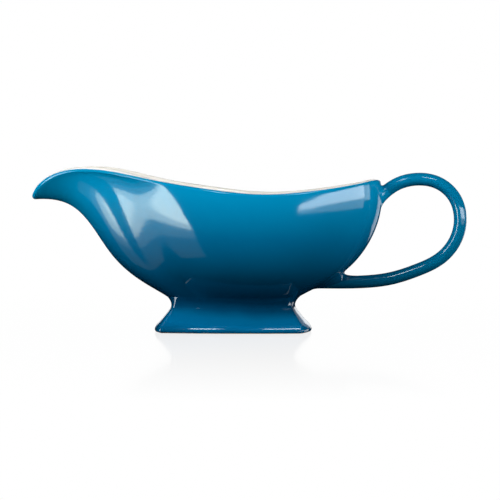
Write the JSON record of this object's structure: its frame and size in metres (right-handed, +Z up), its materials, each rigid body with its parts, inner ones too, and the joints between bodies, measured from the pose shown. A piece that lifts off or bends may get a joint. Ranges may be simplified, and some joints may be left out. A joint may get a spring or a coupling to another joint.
{
  "type": "gravy boat",
  "caption": "Glazed stoneware gravy boat: beaked oval bowl with a dipped rim, flared rectangular pedestal and slim loop handle.",
  "frame": {"origin": "under the middle of the whole boat, on the plane it stands on", "axes": "+X from the spout to the handle, +Y across the boat, +Z up"},
  "size_m": [0.2609, 0.092, 0.0988],
  "materials": {
    "blue_glaze": "glossy clear blue glaze over stoneware, darker where it pools low down",
    "cream_glaze": "glossy cream glaze",
    "bare_stoneware": "matt, unglazed and ground flat"
  },
  "bodies": {
    "root": {"bowl": "blue_glaze", "liner_glaze": "cream_glaze", "foot": "blue_glaze", "foot_ring": "bare_stoneware", "neck_luting": "blue_glaze", "handle": "blue_glaze", "handle_upper_luting": "blue_glaze", "handle_lower_luting": "blue_glaze"}
  },
  "joints": []
}
